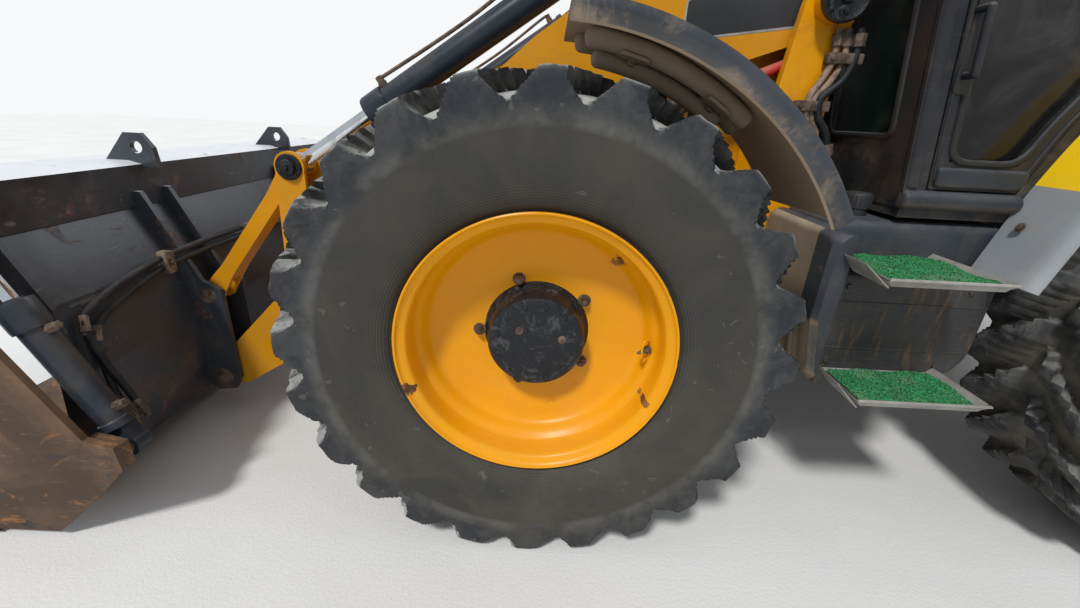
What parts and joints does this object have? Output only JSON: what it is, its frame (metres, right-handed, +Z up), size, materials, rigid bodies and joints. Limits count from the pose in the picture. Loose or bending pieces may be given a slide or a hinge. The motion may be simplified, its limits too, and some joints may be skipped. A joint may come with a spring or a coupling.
{
  "type": "backhoe loader",
  "caption": "Backhoe loader with four equal steered wheels, a clam bucket on loader arms in front, a cab, and a side-shift digger with stabiliser legs behind.",
  "frame": {"origin": "under the middle of the parked machine's length, on the ground between its wheels", "axes": "+X forward to the loader bucket, +Y to the machine's left, +Z up"},
  "size_m": [6.8776, 2.42, 3.495],
  "materials": {
    "yellow_paint": "worn gloss",
    "black_paint": "satin",
    "castings": "matt",
    "step_metal": "dusty",
    "turf": "pile",
    "lamp_lens": "gloss",
    "cab_trim": "matt",
    "red_paint": "worn",
    "bucket_steel": "rusty",
    "tyre_rubber": "dusty",
    "rod_chrome": "polished",
    "cab_glass": "tinted"
  },
  "bodies": {
    "frame": {"chassis": "black_paint", "towers": "yellow_paint", "engine": "castings", "axles": "castings", "tanks": "black_paint", "steps": "step_metal", "step_mats": "turf", "rear_fenders": "yellow_paint", "lamps": "lamp_lens", "cab": "black_paint", "roof": "yellow_paint", "glass": "cab_glass", "interior": "cab_trim"},
    "engine_cover": {"hood": "yellow_paint", "exhaust": "castings"},
    "left_door": {"door_left": "black_paint", "door_left_glass": "cab_glass"},
    "right_door": {"door_right": "black_paint", "door_right_glass": "cab_glass"},
    "steer_fl": {"knuckle_fl": "black_paint"},
    "roll_fl": {"wheel_fl": "yellow_paint", "tyre_fl": "tyre_rubber"},
    "steer_fr": {"knuckle_fr": "black_paint"},
    "roll_fr": {"wheel_fr": "yellow_paint", "tyre_fr": "tyre_rubber"},
    "steer_rl": {"knuckle_rl": "black_paint"},
    "roll_rl": {"wheel_rl": "yellow_paint", "tyre_rl": "tyre_rubber"},
    "steer_rr": {"knuckle_rr": "black_paint"},
    "roll_rr": {"wheel_rr": "yellow_paint", "tyre_rr": "tyre_rubber"},
    "loader": {"arms": "yellow_paint", "struts": "red_paint"},
    "lift_barrels_body": {"lift_barrels": "black_paint"},
    "lift_rods_body": {"lift_rods": "rod_chrome"},
    "levers_body": {"levers": "yellow_paint"},
    "links_body": {"links": "yellow_paint"},
    "tip_barrels_body": {"tip_barrels": "black_paint"},
    "tip_rods_body": {"tip_rods": "rod_chrome"},
    "bucket_body": {"bucket": "bucket_steel"},
    "jaw_body": {"jaw": "bucket_steel"},
    "clam_barrels_body": {"clam_barrels": "black_paint"},
    "clam_rods_body": {"clam_rods": "rod_chrome"},
    "carriage_body": {"carriage": "black_paint"},
    "kingpost_body": {"kingpost": "black_paint"},
    "boom_body": {"boom": "yellow_paint"},
    "dipper_body": {"dipper": "yellow_paint"},
    "hoe_bucket_body": {"hoe_bucket": "bucket_steel"},
    "boom_barrel_body": {"boom_barrel": "black_paint"},
    "boom_rod_body": {"boom_rod": "rod_chrome"},
    "dipper_barrel_body": {"dipper_barrel": "black_paint"},
    "dipper_rod_body": {"dipper_rod": "rod_chrome"},
    "hoe_barrel_body": {"hoe_barrel": "black_paint"},
    "hoe_rod_body": {"hoe_rod": "rod_chrome"},
    "hoe_lever_body": {"hoe_lever": "yellow_paint"},
    "hoe_link_body": {"hoe_link": "yellow_paint"},
    "leg_left_body": {"leg_left": "black_paint"},
    "leg_right_body": {"leg_right": "black_paint"}
  },
  "joints": [
    {"name": "hood_hinge", "type": "hinge", "parent": "frame", "child": "engine_cover", "pos_m": [0.22376, 0, 1.6], "axis": [0, -1, 0], "range_deg": [0, 45]},
    {"name": "left_door_hinge", "type": "hinge", "parent": "frame", "child": "left_door", "pos_m": [-0.89424, 0.878, 1.95], "axis": [0, 0, 1], "range_deg": [0, 95]},
    {"name": "right_door_hinge", "type": "hinge", "parent": "frame", "child": "right_door", "pos_m": [-0.89424, -0.878, 1.95], "axis": [0, 0, -1], "range_deg": [0, 95]},
    {"name": "front_steer", "type": "hinge", "parent": "frame", "child": "steer_fl", "pos_m": [1.14876, 0.8, 0.695], "axis": [0, 0, 1], "range_deg": [-20, 20]},
    {"name": "front_steer_right", "type": "hinge", "parent": "frame", "child": "steer_fr", "pos_m": [1.14876, -0.8, 0.695], "axis": [0, 0, 1], "range_deg": [-20.5, 20.5]},
    {"name": "rear_steer", "type": "hinge", "parent": "frame", "child": "steer_rl", "pos_m": [-1.07124, 0.8, 0.695], "axis": [0, 0, 1], "range_deg": [-20, 20]},
    {"name": "rear_steer_right", "type": "hinge", "parent": "frame", "child": "steer_rr", "pos_m": [-1.07124, -0.8, 0.695], "axis": [0, 0, 1], "range_deg": [-20.5, 20.5]},
    {"name": "spin_fl", "type": "hinge", "parent": "steer_fl", "child": "roll_fl", "pos_m": [1.14876, 0.965, 0.695], "axis": [0, 1, 0], "continuous": true},
    {"name": "spin_fr", "type": "hinge", "parent": "steer_fr", "child": "roll_fr", "pos_m": [1.14876, -0.965, 0.695], "axis": [0, 1, 0], "continuous": true},
    {"name": "spin_rl", "type": "hinge", "parent": "steer_rl", "child": "roll_rl", "pos_m": [-1.07124, 0.965, 0.695], "axis": [0, 1, 0], "continuous": true},
    {"name": "spin_rr", "type": "hinge", "parent": "steer_rr", "child": "roll_rr", "pos_m": [-1.07124, -0.965, 0.695], "axis": [0, 1, 0], "continuous": true},
    {"name": "arm_lift", "type": "hinge", "parent": "frame", "child": "loader", "pos_m": [0.27876, 0, 1.66], "axis": [0, -1, 0], "range_deg": [0, 77]},
    {"name": "lift_barrel_swing", "type": "hinge", "parent": "frame", "child": "lift_barrels_body", "pos_m": [0.19876, 0, 0.83], "axis": [0, -1, 0], "range_deg": [-0.5, 45.35]},
    {"name": "lift_rod_travel", "type": "slide", "parent": "lift_barrels_body", "child": "lift_rods_body", "axis": [0.9301, 0, 0.3674], "range_m": [-0.003, 0.7153]},
    {"name": "bucket_tip", "type": "hinge", "parent": "loader", "child": "bucket_body", "pos_m": [2.47876, 0, 0.19], "axis": [0, 1, 0], "range_deg": [-24, 100]},
    {"name": "lever_swing", "type": "hinge", "parent": "loader", "child": "levers_body", "pos_m": [2.07376, 0, 0.705], "axis": [0, 1, 0], "range_deg": [-24.5, 100.5]},
    {"name": "link_swing", "type": "hinge", "parent": "levers_body", "child": "links_body", "pos_m": [2.06376, 0, 1.075], "axis": [0, 1, 0], "range_deg": [-100.5, 24.5]},
    {"name": "tip_barrel_swing", "type": "hinge", "parent": "loader", "child": "tip_barrels_body", "pos_m": [1.01876, 0, 1.77], "axis": [0, 1, 0], "range_deg": [-0.57, 0.81]},
    {"name": "tip_rod_travel", "type": "slide", "parent": "tip_barrels_body", "child": "tip_rods_body", "axis": [0.8327, 0, -0.5538], "range_m": [-0.1434, 0.5879]},
    {"name": "jaw_open", "type": "hinge", "parent": "bucket_body", "child": "jaw_body", "pos_m": [2.83876, 0, 0.975], "axis": [0, -1, 0], "range_deg": [0, 80]},
    {"name": "clam_barrel_swing", "type": "hinge", "parent": "jaw_body", "child": "clam_barrels_body", "pos_m": [2.37376, 0, 0.3], "axis": [0, -1, 0], "range_deg": [-0.5, 2.28]},
    {"name": "clam_rod_travel", "type": "slide", "parent": "clam_barrels_body", "child": "clam_rods_body", "axis": [0.4071, 0, 0.9134], "range_m": [-0.003, 0.2471]},
    {"name": "side_shift", "type": "slide", "parent": "frame", "child": "carriage_body", "axis": [0, 1, 0], "range_m": [-0.55, 0.55]},
    {"name": "slew", "type": "hinge", "parent": "carriage_body", "child": "kingpost_body", "pos_m": [-2.37124, 0, 0.7], "axis": [0, 0, 1], "range_deg": [-90, 90]},
    {"name": "boom_swing", "type": "hinge", "parent": "kingpost_body", "child": "boom_body", "pos_m": [-2.62124, 0, 0.62], "axis": [0, -1, 0], "range_deg": [0, 110]},
    {"name": "boom_barrel_swing", "type": "hinge", "parent": "kingpost_body", "child": "boom_barrel_body", "pos_m": [-2.39124, 0, 0.985], "axis": [0, -1, 0], "range_deg": [-0.5, 118.75]},
    {"name": "boom_rod_travel", "type": "slide", "parent": "boom_barrel_body", "child": "boom_rod_body", "axis": [0.2753, 0, 0.9614], "range_m": [-0.003, 0.6788]},
    {"name": "dipper_swing", "type": "hinge", "parent": "boom_body", "child": "dipper_body", "pos_m": [-2.33124, 0, 3.18], "axis": [0, 1, 0], "range_deg": [0, 115]},
    {"name": "dipper_barrel_swing", "type": "hinge", "parent": "boom_body", "child": "dipper_barrel_body", "pos_m": [-2.06624, 0, 2.178], "axis": [0, 1, 0], "range_deg": [-0.5, 6.07]},
    {"name": "dipper_rod_travel", "type": "slide", "parent": "dipper_barrel_body", "child": "dipper_rod_body", "axis": [-0.0796, 0, 0.9968], "range_m": [-0.5375, 0.003]},
    {"name": "hoe_bucket_curl", "type": "hinge", "parent": "dipper_body", "child": "hoe_bucket_body", "pos_m": [-3.15124, 0, 1.9], "axis": [0, 1, 0], "range_deg": [0, 130]},
    {"name": "hoe_lever_swing", "type": "hinge", "parent": "dipper_body", "child": "hoe_lever_body", "pos_m": [-2.97323, 0, 2.17787], "axis": [0, 1, 0], "range_deg": [-0.5, 130.5]},
    {"name": "hoe_link_swing", "type": "hinge", "parent": "hoe_lever_body", "child": "hoe_link_body", "pos_m": [-3.21471, 0, 2.02543], "axis": [0, 1, 0], "range_deg": [-130.5, 0.5]},
    {"name": "hoe_barrel_swing", "type": "hinge", "parent": "dipper_body", "child": "hoe_barrel_body", "pos_m": [-2.60997, 0, 3.09713], "axis": [0, 1, 0], "range_deg": [-0.5, 7.98]},
    {"name": "hoe_rod_travel", "type": "slide", "parent": "hoe_barrel_body", "child": "hoe_rod_body", "axis": [-0.4914, 0, -0.8709], "range_m": [-0.5203, 0.003]},
    {"name": "left_leg", "type": "slide", "parent": "frame", "child": "leg_left_body", "axis": [0, 0, -1], "range_m": [0, 0.36]},
    {"name": "right_leg", "type": "slide", "parent": "frame", "child": "leg_right_body", "axis": [0, 0, -1], "range_m": [0, 0.36]}
  ],
  "couplings": [
    {"joint": "front_steer_right", "follows": "front_steer", "ratio": 1},
    {"joint": "rear_steer_right", "follows": "rear_steer", "ratio": 1},
    {"joint": "lift_barrel_swing", "follows": "arm_lift", "ratio": 0.5825},
    {"joint": "lift_rod_travel", "follows": "arm_lift", "m_per_rad": 0.53},
    {"joint": "lever_swing", "follows": "bucket_tip", "ratio": 1},
    {"joint": "link_swing", "follows": "bucket_tip", "ratio": -1},
    {"joint": "tip_barrel_swing", "follows": "bucket_tip", "ratio": 0.0031},
    {"joint": "tip_rod_travel", "follows": "bucket_tip", "m_per_rad": 0.3351},
    {"joint": "clam_barrel_swing", "follows": "jaw_open", "ratio": 0.0223},
    {"joint": "clam_rod_travel", "follows": "jaw_open", "m_per_rad": 0.1748},
    {"joint": "boom_barrel_swing", "follows": "boom_swing", "ratio": 1.075},
    {"joint": "boom_rod_travel", "follows": "boom_swing", "m_per_rad": 0.352},
    {"joint": "dipper_barrel_swing", "follows": "dipper_swing", "ratio": 0.0484},
    {"joint": "dipper_rod_travel", "follows": "dipper_swing", "m_per_rad": -0.2663},
    {"joint": "hoe_lever_swing", "follows": "hoe_bucket_curl", "ratio": 1},
    {"joint": "hoe_link_swing", "follows": "hoe_bucket_curl", "ratio": -1},
    {"joint": "hoe_barrel_swing", "follows": "hoe_bucket_curl", "ratio": 0.0575},
    {"joint": "hoe_rod_travel", "follows": "hoe_bucket_curl", "m_per_rad": -0.228}
  ]
}
